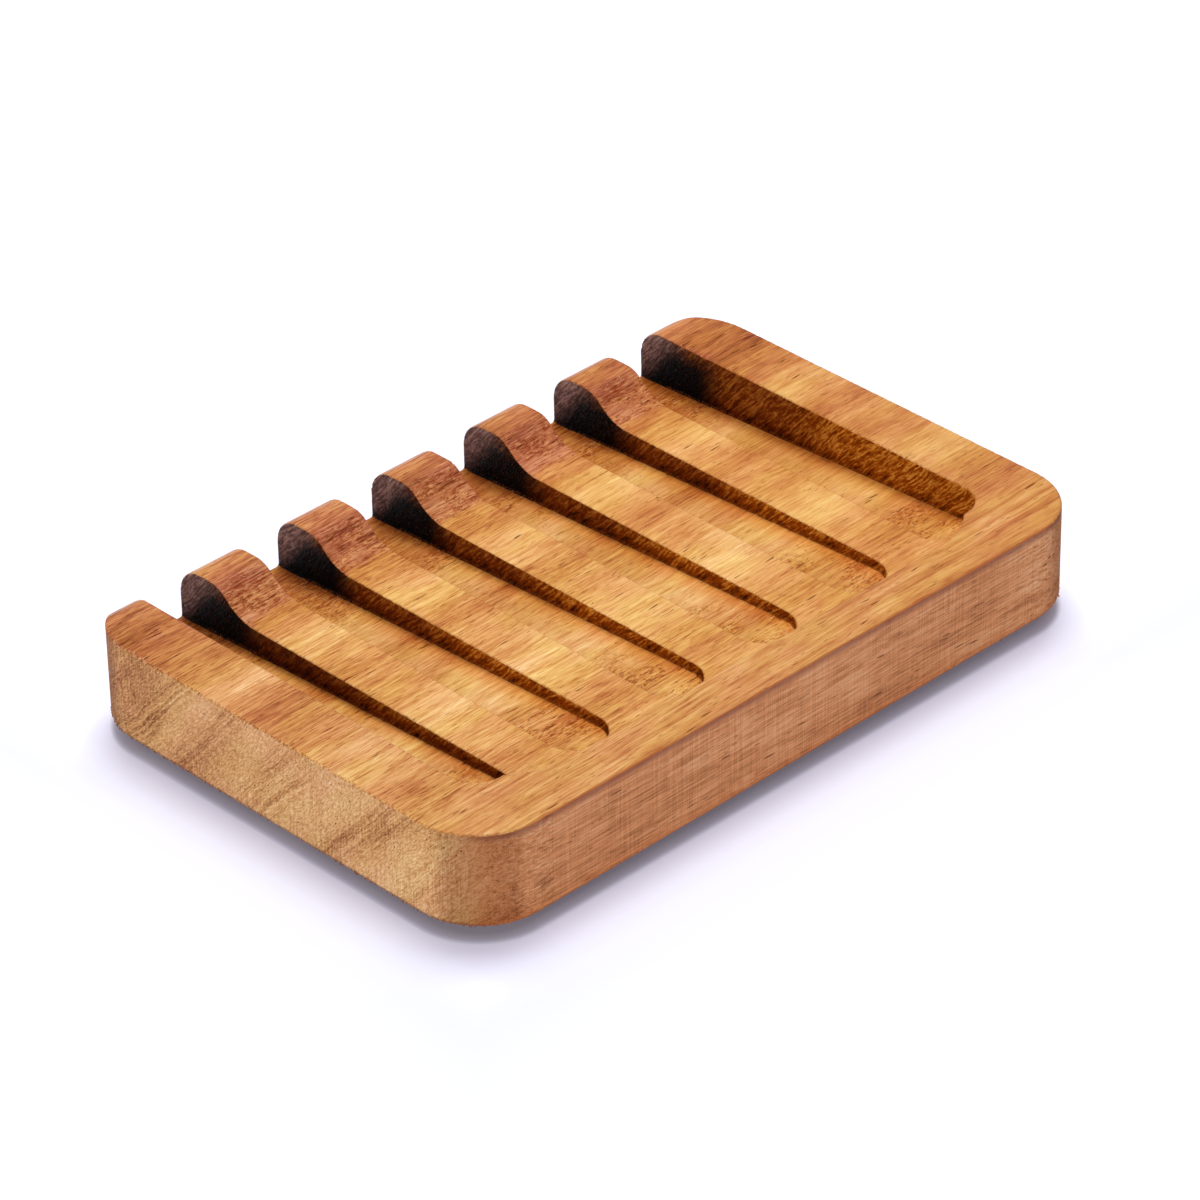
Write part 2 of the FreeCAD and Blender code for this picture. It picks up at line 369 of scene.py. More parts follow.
def poreMask(tree, grain, length, width, share, size):
    # long thin ellipsoids scattered in the wood; where a face cuts them they show as dashes or as dots
    made = node(tree, "ShaderNodeTexVoronoi", feature="F1")
    feed(tree, made.inputs["Vector"], vector(tree, "MULTIPLY", grain, (1 / length, 1 / width, 1 / width)))
    feed(tree, made.inputs["Scale"], 1.0)
    chance = separate(tree, made.outputs["Color"])
    kept = calc(tree, "LESS_THAN", chance[0], share)
    reach = calc(tree, "MULTIPLY_ADD", chance[1], 0.7 * size, 0.5 * size)
    inside = calc(tree, "DIVIDE", made.outputs["Distance"], reach)
    return product(tree, kept, ramp(tree, inside, 0.45, 1.0, 1.0, 0.0))


def largePores(tree, grain):  # they crowd together in some places and are rare in others
    length, width, share, size = wood["pores"]["large"]
    return poreMask(tree, grain, length, width, mask(tree, grain, "poreCrowds", 0.1 * share, share), size)


def surfaceZones(tree, place, normal):  # masks for the kinds of surface that the tools left on the plank
    x, y, z = separate(tree, place)
    facing = separate(tree, normal)
    farX, farY = calc(tree, "ABSOLUTE", x), calc(tree, "ABSOLUTE", y)
    across, along, up = (calc(tree, "ABSOLUTE", part) for part in facing)
    slotFloorZ = calc(tree, "MULTIPLY_ADD", y, wood["slots"]["fall"], wood["slots"]["floor"])
    aboveFloor = calc(tree, "SUBTRACT", z, slotFloorZ)
    upright = fade(tree, up, "upright", 1.0, 0.0)
    atFoot = product(tree, fade(tree, up, "footSlope", 1.0, 0.0), fade(tree, aboveFloor, "foot", 1.0, 0.0))
    insideX = fade(tree, farX, "insideEnds", 1.0, 0.0)
    insideY = fade(tree, farY, "insideSides", 1.0, 0.0)
    inside = product(tree, insideX, calc(tree, "MAXIMUM", insideY, fade(tree, across, "endSlope")))
    outer = product(tree, upright, calc(tree, "SUBTRACT", 1.0, inside))
    lip = product(tree, fade(tree, y, "lipFront"), fade(tree, y, "lipBack", 1.0, 0.0),
                  fade(tree, z, "lipFoot"), fade(tree, up, "lipSlope"), fade(tree, up, "lipUp"))
    slotted = product(tree, fade(tree, z, "slotTop", 1.0, 0.0), fade(tree, z, "slotBottom"), inside)
    slotFloor = product(tree, slotted, fade(tree, up, "floorSlope"))
    edge = product(tree, fade(tree, up, "edgeFrom"), fade(tree, up, "edgeTo", 1.0, 0.0),
                   fade(tree, y, "drainRound", 1.0, 0.0))
    floorFront = product(tree, slotFloor, fade(tree, y, "slotFront"), fade(tree, y, "slotFrontPast", 1.0, 0.0))
    floorBack = product(tree, slotFloor, fade(tree, y, "slotBack"), fade(tree, y, "slotBackPast"))
    return {
        "x": x, "y": y, "z": z, "facing": facing, "up": up, "across": across, "aboveFloor": aboveFloor,
        "wall": product(tree, inside, calc(tree, "MAXIMUM", upright, product(tree, slotted, atFoot))),
        "end": product(tree, outer, fade(tree, across, "face")),
        "side": product(tree, outer, fade(tree, along, "face")),
        "leathery": product(tree, outer, fade(tree, farX, "leathery")),
        "corner": product(tree, outer, fade(tree, across, "cornerAcross"), fade(tree, along, "cornerAlong")),
        "slotFloor": slotFloor,
        "lip": lip,
        "torn": calc(tree, "MAXIMUM", product(tree, lip, mask(tree, place, "lipPatches")),
                     product(tree, calc(tree, "ADD", floorFront, floorBack), mask(tree, place, "patches"))),
        "edge": edge,
        "endEdge": product(tree, edge, fade(tree, farX, "endEdge")),
    }


def lowFibreTone(tree, x):
    atEnd = fade(tree, calc(tree, "ABSOLUTE", x), "endFibres")
    return mixColour(tree, atEnd, wood["burrTone"], wood["endBurrTone"])


def woodMaterial():
    material, tree = newMaterial("oiledHardwood")
    place = objectPlace(tree)
    rings, grain = grainCoordinates(tree, place)
    zone = surfaceZones(tree, place, node(tree, "ShaderNodeNewGeometry").outputs["Normal"])
    x, y, z = (zone[name] for name in "xyz")

    # growth bands, then streaks and fibres from broad to fine
    much = wood["amounts"]["top"]
    ragged = total(tree, separate(tree, rings)[1], spread(tree, layer(tree, grain, "ragged"), 1.0))
    bands = wood["plainTone"]
    for middle, halfWidth, amount in wood["bands"]:
        away = calc(tree, "ABSOLUTE", calc(tree, "SUBTRACT", ragged, middle))
        bands = total(tree, bands, ramp(tree, away, 0.0, halfWidth, amount, 0.0))
    lines = layer(tree, grain, "lines")
    streaks = layer(tree, grain, "streaks")
    threads = crisp(tree, layer(tree, grain, "fibres"))
    strokes = layer(tree, grain, "strokes")
    dashes = mask(tree, grain, "dashes")
    broad = layer(tree, grain, "broad")
    frontRail = fade(tree, y, "frontRail")
    fine = product(tree, calc(tree, "MULTIPLY_ADD", frontRail, much["onRail"], 1.0),
                   fade(tree, x, "leftToRight", much["left"], much["right"]))
    strokeTone = total(
        tree, fade(tree, strokes, "darkStrokes", 0.0, much["darkStrokes"]),
        fade(tree, strokes, "paleStrokes", 0.0, much["paleStrokes"]),
        product(tree, threads, much["fibres"]), product(tree, dashes, much["dashes"]))
    tone = total(
        tree, bands, spread(tree, lines, much["lines"]), spread(tree, streaks, much["streaks"]),
        product(tree, strokeTone, fine), product(tree, frontRail, spread(tree, lines, much["railLines"])),
        spread(tree, broad, much["broad"]), spread(tree, layer(tree, grain, "mottle"), much["mottle"]),
        fade(tree, z, "railTop", 0.0, wood["railShade"]))
    colour = toneRamp(tree, tone, wood["tones"])
    tint = mixColour(tree, mask(tree, grain, "hue"), wood["pinkTint"], wood["oliveTint"])
    colour = tinted(tree, wood["hueShare"], colour, tint)
    golden = product(tree, fade(tree, x, "golden"), wood["goldenShare"])
    colour = tinted(tree, golden, colour, wood["goldenTint"])
    # painted shade on the slot floors, along the foot of the wall on the side away from the light and under the lip
    halfPitch = wood["slots"]["pitch"] / 2
    fromFirst = calc(tree, "ADD", x, (wood["slots"]["count"] - 1) * halfPitch)
    inSlot = calc(tree, "WRAP", fromFirst, halfPitch, -halfPitch)
    footShade = calc(tree, "MAXIMUM", fade(tree, inSlot, "slotRight"), fade(tree, y, "underLip", 0.0, 0.45))
    crest = product(tree, fade(tree, y, "crest"), fade(tree, z, "crestHeight"))
    # the rail and torn-grain tints are the wood's own colour; the S-curve and crest tints are painted sheen and the
    # shade tint is painted shade
    for amount, tint in ((fade(tree, z, "railTint"), "railTint"), (zone["lip"], "lipSheenTint"),
                         (crest, "crestSheenTint"), (zone["torn"], "tornTint"),
                         (product(tree, zone["slotFloor"], footShade), "shadeTint")):
        colour = tinted(tree, amount, colour, wood[tint])

    # sanded end grain: rings as slanting lines in groups, pebbled along them, with upright scratches
    much = wood["amounts"]["end"]
    pebbles = crisp(tree, layer(tree, rings, "pebbles"))
    leather = layer(tree, rings, "leather")
    ringLines = crisp(tree, layer(tree, rings, "ringLines"))
    ringGroups = mask(tree, rings, "ringGroups", 0.1, 1.0)
    scratch = crisp(tree, layer(tree, place, "scratch"))
    endTone = total(
        tree, calc(tree, "MULTIPLY_ADD", bands, much["bands"], much["plain"]),
        product(tree, ringLines, ringGroups, much["ringLines"]),
        product(tree, ringGroups, much["ringGroups"]),
        product(tree, mask(tree, rings, "hatch"), ringGroups, much["hatch"]),
        product(tree, pebbles, much["pebbles"]), spread(tree, leather, much["leather"]),
        product(tree, scratch, mask(tree, place, "scratchGroups", 0.1, 1.0), much["scratch"]),
        spread(tree, layer(tree, rings, "endPatches"), much["patches"]),
        fade(tree, y, "endBack", much["front"], much["back"]))
    endColour = toneRamp(tree, endTone, wood["endTones"])
    endTint = mixColour(tree, mask(tree, rings, "endHue"), wood["endPinkTint"], wood["endOliveTint"])
    endColour = mixColour(tree, 1.0, endColour, endTint, "MULTIPLY")
    colour = mixColour(tree, zone["end"], colour, endColour)

    # sawn long sides: redder, fine upright saw lines in groups over the fibres
    much = wood["amounts"]["side"]
    sawLines = crisp(tree, layer(tree, place, "sawLines"))
    sideFibres = crisp(tree, layer(tree, place, "sideFibres"))
    sideTone = total(
        tree, much["plain"],
        product(tree, sawLines, mask(tree, place, "sawGroups", 0.45, 1.0), much["sawLines"]),
        product(tree, sideFibres, much["fibres"]), spread(tree, streaks, much["streaks"]),
        spread(tree, broad, much["broad"]), product(tree, dashes, much["dashes"]),
        product(tree, zone["leathery"], pebbles, much["pebbles"]),
        fade(tree, x, "sideRight", 0.0, much["right"]),
        product(tree, poreMask(tree, grain, *wood["pores"]["knots"]), much["knots"]))
    sideColour = toneRamp(tree, sideTone, wood["sideTones"])
    raggedTop = total(tree, z, product(tree, sideFibres, 0.25))
    sideColour = mixColour(tree, fade(tree, raggedTop, "sideTop", 0.0, 0.7), sideColour, wood["sideTopTone"])
    sideColour = tinted(tree, fade(tree, z, "sideFoot"), sideColour, wood["sideFootTint"])
    colour = mixColour(tree, zone["side"], colour, sideColour)
    colour = tinted(tree, zone["corner"], colour, wood["cornerTint"])

    # walls of the slots, dark with oil: brown in front; darker towards the back and the foot, and nearly black low
    # under the lip, as painted shade; grey at the drain edge as a painted reflection of the white floor behind
    much = wood["amounts"]["wall"]
    wallFibres = crisp(tree, layer(tree, rings, "wallFibres"))
    wallPebbles = crisp(tree, layer(tree, rings, "wallPebbles"))
    # darker towards the foot of the wall and lighter towards its top: painted shade
    wallFoot = fade(tree, y, "wallMiddle", much["frontFoot"], much["backFoot"])
    wallTone = total(
        tree, much["plain"], product(tree, wallFibres, much["fibres"]),
        product(tree, wallPebbles, much["pebbles"]), spread(tree, leather, much["leather"]),
        spread(tree, lines, much["lines"]), product(tree, ringLines, much["ringLines"]),
        fade(tree, zone["aboveFloor"], "wallFoot", wallFoot, much["high"]),
        fade(tree, z, "wallTop", 0.0, much["top"]))
    wallColour = toneRamp(tree, wallTone, wood["wallTones"])
    # painted shade: darker from the front backwards as the slot deepens, and on the leftmost wall
    wallShade = mixColour(tree, fade(tree, y, "wallFront"), wood["wallFrontTint"], wood["wallMidTint"])
    wallShade = tinted(tree, fade(tree, x, "leftMost"), wallShade, wood["wallLeftTint"])
    wallColour = mixColour(tree, 1.0, wallColour, wallShade, "MULTIPLY")
    # painted reflection of the white floor behind: grey towards the drain edge
    wallColour = mixColour(tree, fade(tree, y, "wallBack"), wallColour,
                           toneRamp(tree, wallTone, wood["wallSheenTones"]))
    # painted shade: nearly black low under the lip, fading towards the open back
    towardsLight = total(tree, zone["aboveFloor"], fade(tree, y, "wallLight", 0.0, 7.0),
                         product(tree, wallPebbles, 0.4))
    black = product(tree, fade(tree, y, "wallBlack"), fade(tree, towardsLight, "black", 1.0, 0.0))
    wallColour = mixColour(tree, black, wallColour, srgb(0, 0, 0))
    colour = mixColour(tree, zone["wall"], colour, wallColour)

    # pores, torn grain
    pores = largePores(tree, grain)
    finePores = poreMask(tree, grain, *wood["pores"]["fine"])
    crowd = total(tree, bands, spread(tree, layer(tree, grain, "crowded"), 0.5))
    crowded = fade(tree, crowd, "crowded", 0.15, 0.95)
    fineTone = mixColour(tree, zone["side"], wood["finePoreTone"], wood["sidePoreTone"])
    colour = mixColour(tree, product(tree, finePores, crowded), colour, fineTone)
    deepTone = mixColour(tree, zone["side"], wood["poreTone"], wood["sidePoreTone"])
    colour = mixColour(tree, product(tree, pores, 0.75), colour, deepTone)
    pits = layer(tree, grain, "pits")
    pitMask = product(tree, zone["torn"], fade(tree, pits, "pits"))
    fleckMask = product(tree, zone["torn"], fade(tree, pits, "flecks"))
    colour = mixColour(tree, product(tree, pitMask, 0.7), colour, wood["tornTone"])
    colour = mixColour(tree, product(tree, fleckMask, 0.35), colour, wood["fleckTone"])

    # edges: a faint broken line along the slots, teeth on the end grain, orange fibres along the foot of the plank
    lowEdge = total(tree, z, spread(tree, layer(tree, place, "lowEdge"), -0.6))
    burr = product(tree, fade(tree, lowEdge, "burr", 1.0, 0.0), fade(tree, zone["facing"][2], "burrSlope"))
    colour = mixColour(tree, product(tree, burr, 0.7), colour, lowFibreTone(tree, x))
    teeth = mask(tree, place, "teeth")
    notLip = calc(tree, "SUBTRACT", 1.0, zone["lip"])
    frontEdge = fade(tree, y, "frontEdge")
    edgeTone = mixColour(tree, frontEdge, wood["finePoreTone"], wood["frontEdgeTone"])
    edgeAmount = product(tree, zone["edge"], notLip, calc(tree, "MAXIMUM", product(tree, teeth, 0.45),
                                                          product(tree, frontEdge, 0.6)))
    colour = mixColour(tree, edgeAmount, colour, edgeTone)
    # painted reflection: pale along the top of the back edge
    rimSheen = product(tree, fade(tree, y, "rimSheen", 0.0, 0.5), fade(tree, zone["up"], "rimSlope"),
                  fade(tree, z, "rimHeight"))
    colour = mixColour(tree, rimSheen, colour, wood["rimSheenTone"])
    # painted highlight: pale along the rounded end edge between the teeth
    endEdgeHighlight = product(tree, zone["endEdge"], calc(tree, "SUBTRACT", 1.0, teeth), 0.3)
    colour = mixColour(tree, endEdgeHighlight, colour, wood["fleckTone"])

    rough = calc(tree, "MAXIMUM", zone["leathery"], zone["wall"])
    heights = wood["heights"]
    height = total(
        tree,
        product(tree, threads, heights["fibres"]),
        product(tree, pores, heights["pores"]),
        product(tree, finePores, heights["finePores"]),
        product(tree, dashes, heights["dashes"]),
        product(tree, rough, spread(tree, leather, heights["leather"])),
        product(tree, rough, pebbles, heights["pebbles"]),
        product(tree, zone["wall"], wallPebbles, heights["wallPebbles"]),
        product(tree, zone["end"], scratch, heights["scratch"]),
        product(tree, zone["side"], sawLines, heights["sawLines"]),
        product(tree, zone["torn"], spread(tree, pits, heights["torn"])),
        product(tree, pitMask, heights["pits"]),
    )
    roughness = wood["roughness"]
    gloss = total(
        tree, roughness["plain"], product(tree, threads, roughness["fibres"]),
        product(tree, zone["leathery"], roughness["leathery"]),
        product(tree, zone["side"], roughness["side"]), product(tree, pores, roughness["pores"]),
        product(tree, zone["torn"], roughness["torn"]))
    show(tree, surface(tree, "ShaderNodeBsdfPrincipled", **{
        "IOR": wood["ior"], "Specular IOR Level": wood["specular"], "Base Color": colour, "Roughness": gloss,
        "Normal": heightBump(tree, height)}))
    return material


# the dish: the milled plank with sanded edges, carved pores and torn grain

carving = {
    "weld": 0.002 * mm,
    "voxel": 0.24 * mm,
    "quickVoxel": 0.5 * mm,
    "smoothing": 2,
    "smoothFactor": 0.5,
    "triangles": 190000,
    # millimetres
    "poreDepth": 0.14,
    "tearDepth": 0.09,
    "leatherDepth": 0.05,
    "toothDepth": 0.08,
}


def carveTree():
    tree, given, place, normal = newGeometryTree("carveGrain", **{"Pore Depth": "Float", "Tear Depth": "Float"})
    rings, grain = grainCoordinates(tree, place)
    zone = surfaceZones(tree, place, normal)
    tears = layer(tree, grain, "tears")
    depth = total(
        tree,
        product(tree, largePores(tree, grain), given["Pore Depth"]),
        product(tree, zone["torn"], fade(tree, tears, "tears"), given["Tear Depth"]),
        product(tree, calc(tree, "MAXIMUM", zone["leathery"], zone["wall"]), mask(tree, rings, "carvedLeather"),
                carving["leatherDepth"]),
        product(tree, zone["endEdge"], fade(tree, tears, "endTears"), carving["toothDepth"]),
    )
    moved = node(tree, "GeometryNodeSetPosition")
    feed(tree, moved.inputs["Geometry"], given["Geometry"])
    feed(tree, moved.inputs["Offset"], vector(tree, "SCALE", normal, scale=product(tree, depth, -mm)))
    feed(tree, node(tree, "NodeGroupOutput").inputs[0], moved.outputs["Geometry"])
    return tree


def setInput(modifier, name, value):
    for item in modifier.node_group.interface.items_tree:
        if item.item_type == "SOCKET" and item.in_out == "INPUT" and item.name == name:
            modifier[item.identifier] = value


def bake(piece, name):  # the piece with its modifiers applied, as a plain mesh
    bpy.context.view_layer.update()
    evaluated = piece.evaluated_get(bpy.context.evaluated_depsgraph_get())
    mesh = bpy.data.meshes.new_from_object(evaluated)
    mesh.name = name
    piece.modifiers.clear()
    return mesh


def keepInside(mesh):  # nothing reaches past the plank's own box
    for vertex in mesh.vertices:
        vertex.co = [min(max(value, low), high) for value, low, high in zip(vertex.co, dishLow, dishHigh)]


def makeDish(material):
    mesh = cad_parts["wooden_dish"].data.copy()
    shell = bmesh.new()
    shell.from_mesh(mesh)
    bmesh.ops.remove_doubles(shell, verts=shell.verts, dist=carving["weld"])
    shell.to_mesh(mesh)
    shell.free()
    dish = bpy.data.objects.new("carved_dish", mesh)
    bench.objects.link(dish)
    remesh = dish.modifiers.new("remesh", "REMESH")
    remesh.mode = "VOXEL"
    remesh.voxel_size = carving["voxel"]
    sand = dish.modifiers.new("sand", "SMOOTH")
    sand.factor = carving["smoothFactor"]
    sand.iterations = carving["smoothing"]
    carve = dish.modifiers.new("carve", "NODES")
    carve.node_group = carveTree()
    setInput(carve, "Pore Depth", carving["poreDepth"])
    setInput(carve, "Tear Depth", carving["tearDepth"])
    mesh = bake(dish, "carved_dish")
    dish.data = mesh
    print("dish remeshed and carved:", len(mesh.polygons), "faces")
    triangles = 2 * len(mesh.polygons)
    if triangles > carving["triangles"]:
        thin = dish.modifiers.new("thin", "DECIMATE")
        thin.ratio = carving["triangles"] / triangles
        mesh = bake(dish, "carved_dish")
        dish.data = mesh
    keepInside(mesh)
    mesh.materials.clear()
    mesh.materials.append(material)
    mesh.shade_smooth()
    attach(dish, "root")
    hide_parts("wooden_dish")
    print("dish done:", len(mesh.polygons), "faces")
    return dish


# raised fibres: torn grain on the lip and in the slots, and the fuzz that sanding left along the lower edges

fibres = {
    "seed": 11,
    "torn": {"perSquareMm": 0.6, "length": 0.45, "thickness": 0.05},
    "fuzz": {"perSquareMm": 3.0, "length": 0.34, "thickness": 0.07},
    "bend": 0.2,  # how far a fibre's tip curls up, as a share of its length
    "bendSteps": 4,
    "sides": 5,
    "taper": 0.85,
    "lengths": (0.45, 1.3),  # fibres differ by these factors
    "thicknesses": (0.6, 1.2),
    "rise": 0.12,  # how much a torn fibre rises from the surface
    "sideways": 0.35,  # and how far the fuzz hangs askew
    "outwards": 0.3,
    "specular": 0.2,
    "paleTone": srgb(232, 178, 126),
    "deepTone": srgb(170, 98, 48),
}


def fibreMaterial():
    material, tree = newMaterial("raisedFibre")
    place = objectPlace(tree)
    x, y, z = separate(tree, place)
    speckle = noise(tree, place, (0.8, 2.0, 2.0), 2.0)
    colour = mixColour(tree, ramp(tree, speckle, 0.4, 0.6, 0.2, 0.9), fibres["paleTone"], fibres["deepTone"])
    colour = mixColour(tree, fade(tree, z, "lowFibres", 0.85, 0.0), colour, lowFibreTone(tree, x))
    show(tree, surface(tree, "ShaderNodeBsdfPrincipled", **{
        "Specular IOR Level": fibres["specular"], "Base Color": colour,
        "Roughness": ramp(tree, speckle, 0.3, 0.7, 0.5, 0.75)}))
    return material


def random(tree, low, high, seed):
    made = node(tree, "FunctionNodeRandomValue", data_type="FLOAT")
    made.inputs[2].default_value = low
    made.inputs[3].default_value = high
    feed(tree, made.inputs["Seed"], seed)
    return made.outputs[1]


def fibreShape(tree, length, thickness):  # one thin fibre along x, pointed, its tip curling up
    bent = node(tree, "GeometryNodeCurveQuadraticBezier")
    bent.inputs["Resolution"].default_value = fibres["bendSteps"]
    feed(tree, bent.inputs["Start"], (0, 0, 0))
    feed(tree, bent.inputs["Middle"], combine(tree, product(tree, length, 0.5 * mm), 0.0, 0.0))
    feed(tree, bent.inputs["End"], combine(tree, product(tree, length, mm), 0.0,
                                           product(tree, length, fibres["bend"] * mm)))
    along = node(tree, "GeometryNodeSplineParameter").outputs["Factor"]
    tapered = node(tree, "GeometryNodeSetCurveRadius")
    feed(tree, tapered.inputs[0], bent.outputs[0])
    feed(tree, tapered.inputs["Radius"], calc(tree, "MULTIPLY_ADD", along, -fibres["taper"], 1.0))
    section = node(tree, "GeometryNodeCurvePrimitiveCircle")
    section.inputs["Resolution"].default_value = fibres["sides"]
    feed(tree, section.inputs["Radius"], product(tree, thickness, mm))
    swept = node(tree, "GeometryNodeCurveToMesh")
    feed(tree, swept.inputs["Curve"], tapered.outputs[0])
    feed(tree, swept.inputs["Profile Curve"], section.outputs[0])
    swept.inputs["Fill Caps"].default_value = True
    return swept.outputs[0]


def fibreTree(name):
    tree, given, place, normal = newGeometryTree(name + "Fibres", **{
        "Per Square Mm": "Float", "Length": "Float", "Thickness": "Float", "Seed": "Int", "Material": "Material"})
    zone = surfaceZones(tree, place, normal)
    if name == "torn":
        share = product(tree, zone["torn"], fade(tree, zone["up"], "tornSlope"))
    else:
        low = product(tree, fade(tree, zone["z"], "fuzzTop", 1.0, 0.0), fade(tree, zone["z"], "fuzzBottom"))
        share = product(tree, low, fade(tree, zone["up"], "fuzzSlope"),
                        fade(tree, zone["across"], "fuzzAcross", 0.05, 1.0))
    scatter = node(tree, "GeometryNodeDistributePointsOnFaces", distribute_method="RANDOM")
    feed(tree, scatter.inputs["Mesh"], given["Geometry"])
    feed(tree, scatter.inputs["Density"], product(tree, share, given["Per Square Mm"], 1 / mm ** 2))
    feed(tree, scatter.inputs["Seed"], given["Seed"])
    turn = node(tree, "FunctionNodeAlignRotationToVector", axis="X")
    if name == "torn":  # the fibres lie along the grain and rise a little from the surface
        turn.pivot_axis = "Z"
        feed(tree, turn.inputs["Rotation"], scatter.outputs["Rotation"])
        feed(tree, turn.inputs["Vector"], combine(tree, random(tree, -1.0, 1.0, 3), fibres["rise"], 0.0))
    else:  # the fuzz hangs from the edge
        outwards, sideways = fibres["outwards"], fibres["sideways"]
        hang = vector(tree, "ADD", vector(tree, "MULTIPLY", scatter.outputs["Normal"], (outwards, outwards, 0.0)),
                      combine(tree, random(tree, -sideways, sideways, 5), random(tree, -sideways, sideways, 6), -1.0))
        feed(tree, turn.inputs["Vector"], hang)
    placed = node(tree, "GeometryNodeInstanceOnPoints")
    feed(tree, placed.inputs["Points"], scatter.outputs["Points"])
    feed(tree, placed.inputs["Instance"], fibreShape(tree, given["Length"], given["Thickness"]))
    feed(tree, placed.inputs["Rotation"], turn.outputs["Rotation"])
    scale = random(tree, *fibres["lengths"], 7)
    feed(tree, placed.inputs["Scale"], combine(tree, scale, random(tree, *fibres["thicknesses"], 8), scale))
    real = node(tree, "GeometryNodeRealizeInstances")
    feed(tree, real.inputs[0], placed.outputs[0])
    dressed = node(tree, "GeometryNodeSetMaterial")
    feed(tree, dressed.inputs["Geometry"], real.outputs[0])
    feed(tree, dressed.inputs["Material"], given["Material"])
    feed(tree, node(tree, "NodeGroupOutput").inputs[0], dressed.outputs[0])
    return tree


def makeFibres(name, dish, material):
    piece = bpy.data.objects.new(name + "_fibres", dish.data.copy())
    bench.objects.link(piece)
    grow = piece.modifiers.new("grow", "NODES")
    grow.node_group = fibreTree(name)
    for label, value in (("Per Square Mm", fibres[name]["perSquareMm"]), ("Length", fibres[name]["length"]),
                         ("Thickness", fibres[name]["thickness"]), ("Seed", fibres["seed"]), ("Material", material)):
        setInput(grow, label, value)
    piece.data = bake(piece, name + "_fibres")
    keepInside(piece.data)
    piece.data.shade_smooth()
    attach(piece, "root")
    print(name, "fibres done:", len(piece.data.polygons), "faces")


# rubber feet

rubberFoot = {
    "turns": 72,
    # millimetres
    "hollowRadius": 1.95,  # the hollow in the middle of the tread
    "hollowDepth": 0.45,
    "hollowRound": 0.2,
    "treadRadius": 4.4,
    "treadRound": 0.9,
    "lineHeight": 1.65,  # the raised line where the halves of the mould met
    "lineRadius": 0.1,
    "brim": 0.14,  # the straight part under the plank
    "lineFrom": -60,  # degrees, where the raised line leaves the flank
    "flankTo": -16,  # and where the round of the tread goes over into it
    "weld": 0.001,
    "sharpFrom": math.radians(50),
    "middleTone": srgb(44, 43, 42),
    "wornTone": srgb(74, 71, 68),
    "wornHeight": 0.5,
}


def rubberMaterial():
    material, tree = newMaterial("footRubber")
    place = objectPlace(tree)
    speckle = noise(tree, place, (2.5, 2.5, 2.5), 3.0, 0.65)
    dust = noise(tree, place, (0.5, 0.5, 0.9), 3.0)
    z = separate(tree, place)[2]
    worn = product(tree, ramp(tree, z, rubberFoot["wornHeight"], 0.0), ramp(tree, dust, 0.4, 0.65))
    colour = mixColour(tree, 1.0, rubberFoot["middleTone"], ramp(tree, speckle, 0.3, 0.7, 0.8, 1.2), "MULTIPLY")
    colour = mixColour(tree, worn, colour, rubberFoot["wornTone"])
    show(tree, surface(tree, "ShaderNodeBsdfPrincipled", **{
        "Base Color": colour,
        "Roughness": total(tree, 0.58, spread(tree, dust, 0.15), product(tree, worn, 0.2)),
        "Normal": heightBump(tree, spread(tree, speckle, 0.02))}))
    return material


def arc(middle, radius, start, end, steps=6):  # a round stretch; 0 degrees points outwards and 90 up
    angles = [math.radians(start + (end - start) * step / steps) for step in range(steps + 1)]
    return [(middle[0] + radius * math.cos(angle), middle[1] + radius * math.sin(angle)) for angle in angles]


def footSection(radius, height):  # half of the section, from the middle of the tread to the middle of the top
    hollow, depth, hollowRound = (rubberFoot[name] for name in ("hollowRadius", "hollowDepth", "hollowRound"))
    lipRound = depth - hollowRound
    treadRound = rubberFoot["treadRound"]
    treadMiddle = rubberFoot["treadRadius"] - treadRound
    tread = arc((treadMiddle, treadRound), treadRound, -90, rubberFoot["flankTo"])
    brim = (radius, height - rubberFoot["brim"])
    share = (rubberFoot["lineHeight"] - tread[-1][1]) / (brim[1] - tread[-1][1])
    lineAt = (tread[-1][0] + share * (radius - tread[-1][0]), rubberFoot["lineHeight"])
    line = arc(lineAt, rubberFoot["lineRadius"], rubberFoot["lineFrom"], 90, 5)
    return [(0.0, depth), *arc((hollow - hollowRound, depth - hollowRound), hollowRound, 90, 0),
            *arc((hollow + lipRound, lipRound), lipRound, 180, 270)[1:], *tread, *line,
            brim, (radius, height), (0.0, height)]


def makeFoot(name, material):
    low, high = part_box(name)
    middle = Vector(((low[0] + high[0]) / 2, (low[1] + high[1]) / 2, 0))
    lathe = bmesh.new()
    section = footSection((high[0] - low[0]) / 2 / mm, (high[2] - low[2]) / mm)
    points = [lathe.verts.new((radius * mm, 0, height * mm)) for radius, height in section]
    edges = [lathe.edges.new(pair) for pair in zip(points, points[1:])]
    bmesh.ops.spin(lathe, geom=points + edges, cent=(0, 0, 0), axis=(0, 0, 1), angle=2 * math.pi,
                   steps=rubberFoot["turns"])
    bmesh.ops.remove_doubles(lathe, verts=lathe.verts, dist=rubberFoot["weld"] * mm)
    bmesh.ops.recalc_face_normals(lathe, faces=lathe.faces)
    bmesh.ops.translate(lathe, verts=lathe.verts, vec=middle)
    mesh = bpy.data.meshes.new("rubber_" + name)
    lathe.to_mesh(mesh)
    lathe.free()
    mesh.materials.append(material)
    mesh.shade_smooth()
    mesh.set_sharp_from_angle(angle=rubberFoot["sharpFrom"])
    foot = bpy.data.objects.new("rubber_" + name, mesh)
    bench.objects.link(foot)
    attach(foot, "root")
    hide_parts(name)


# studio: white floor, key light from behind on the right, pale surroundings

